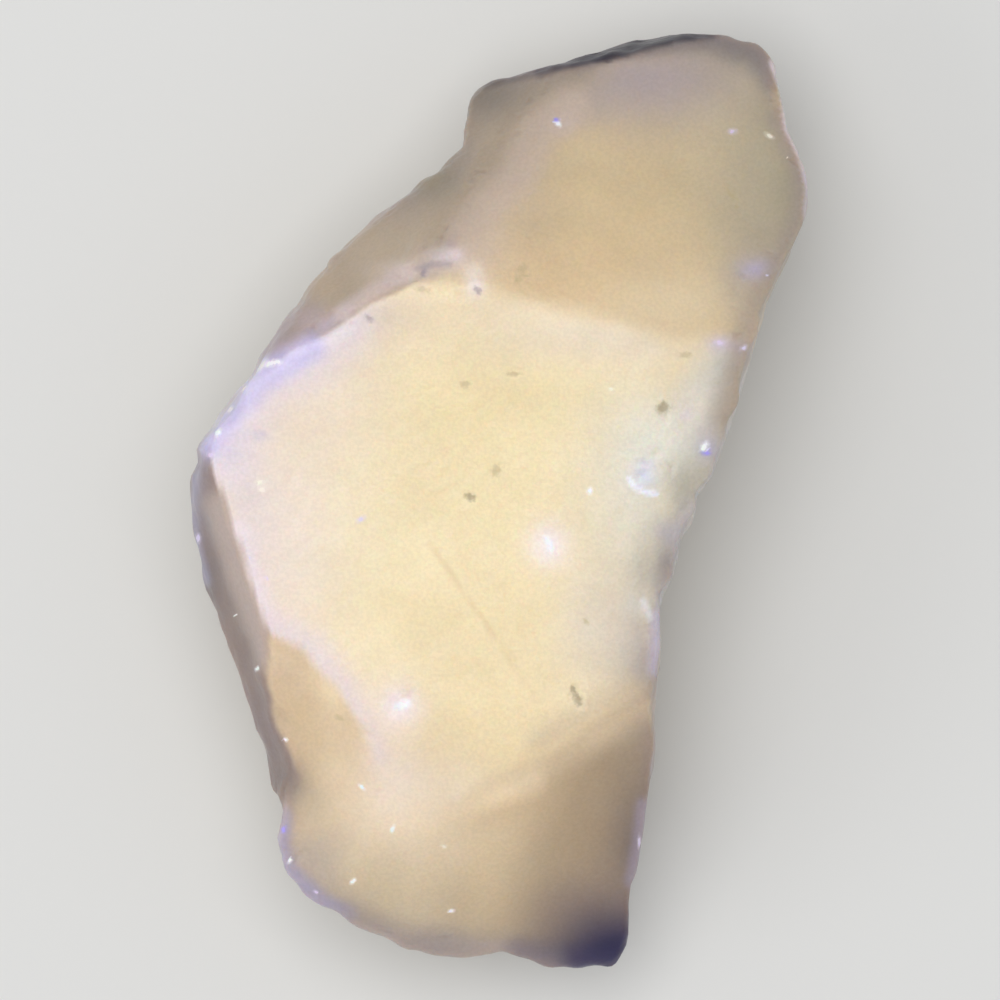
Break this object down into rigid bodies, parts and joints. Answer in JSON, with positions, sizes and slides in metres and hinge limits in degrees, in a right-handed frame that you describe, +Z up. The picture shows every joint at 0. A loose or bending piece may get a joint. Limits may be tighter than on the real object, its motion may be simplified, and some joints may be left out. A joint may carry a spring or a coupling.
{
  "type": "glass cullet",
  "caption": "Hand-sized broken lump of milky cream glass with a broad dished face, sloping facets, conchoidal scars and a flat cleaved base to lie on.",
  "frame": {"origin": "centre of the lump's box at the level of the flat base that it lies on", "axes": "+Z up, away from the base and out of the broad face; +Y along the lump's longest reach, towards its sloping upper end; +X to the right when the broad face is looked down on"},
  "size_m": [0.0614, 0.0936, 0.0358],
  "materials": {
    "milky_glass": "milky translucent cream glass, smooth fractured faces with a soft gloss, lilac chipped edges"
  },
  "bodies": {
    "root": {"cullet": "milky_glass"}
  },
  "joints": []
}
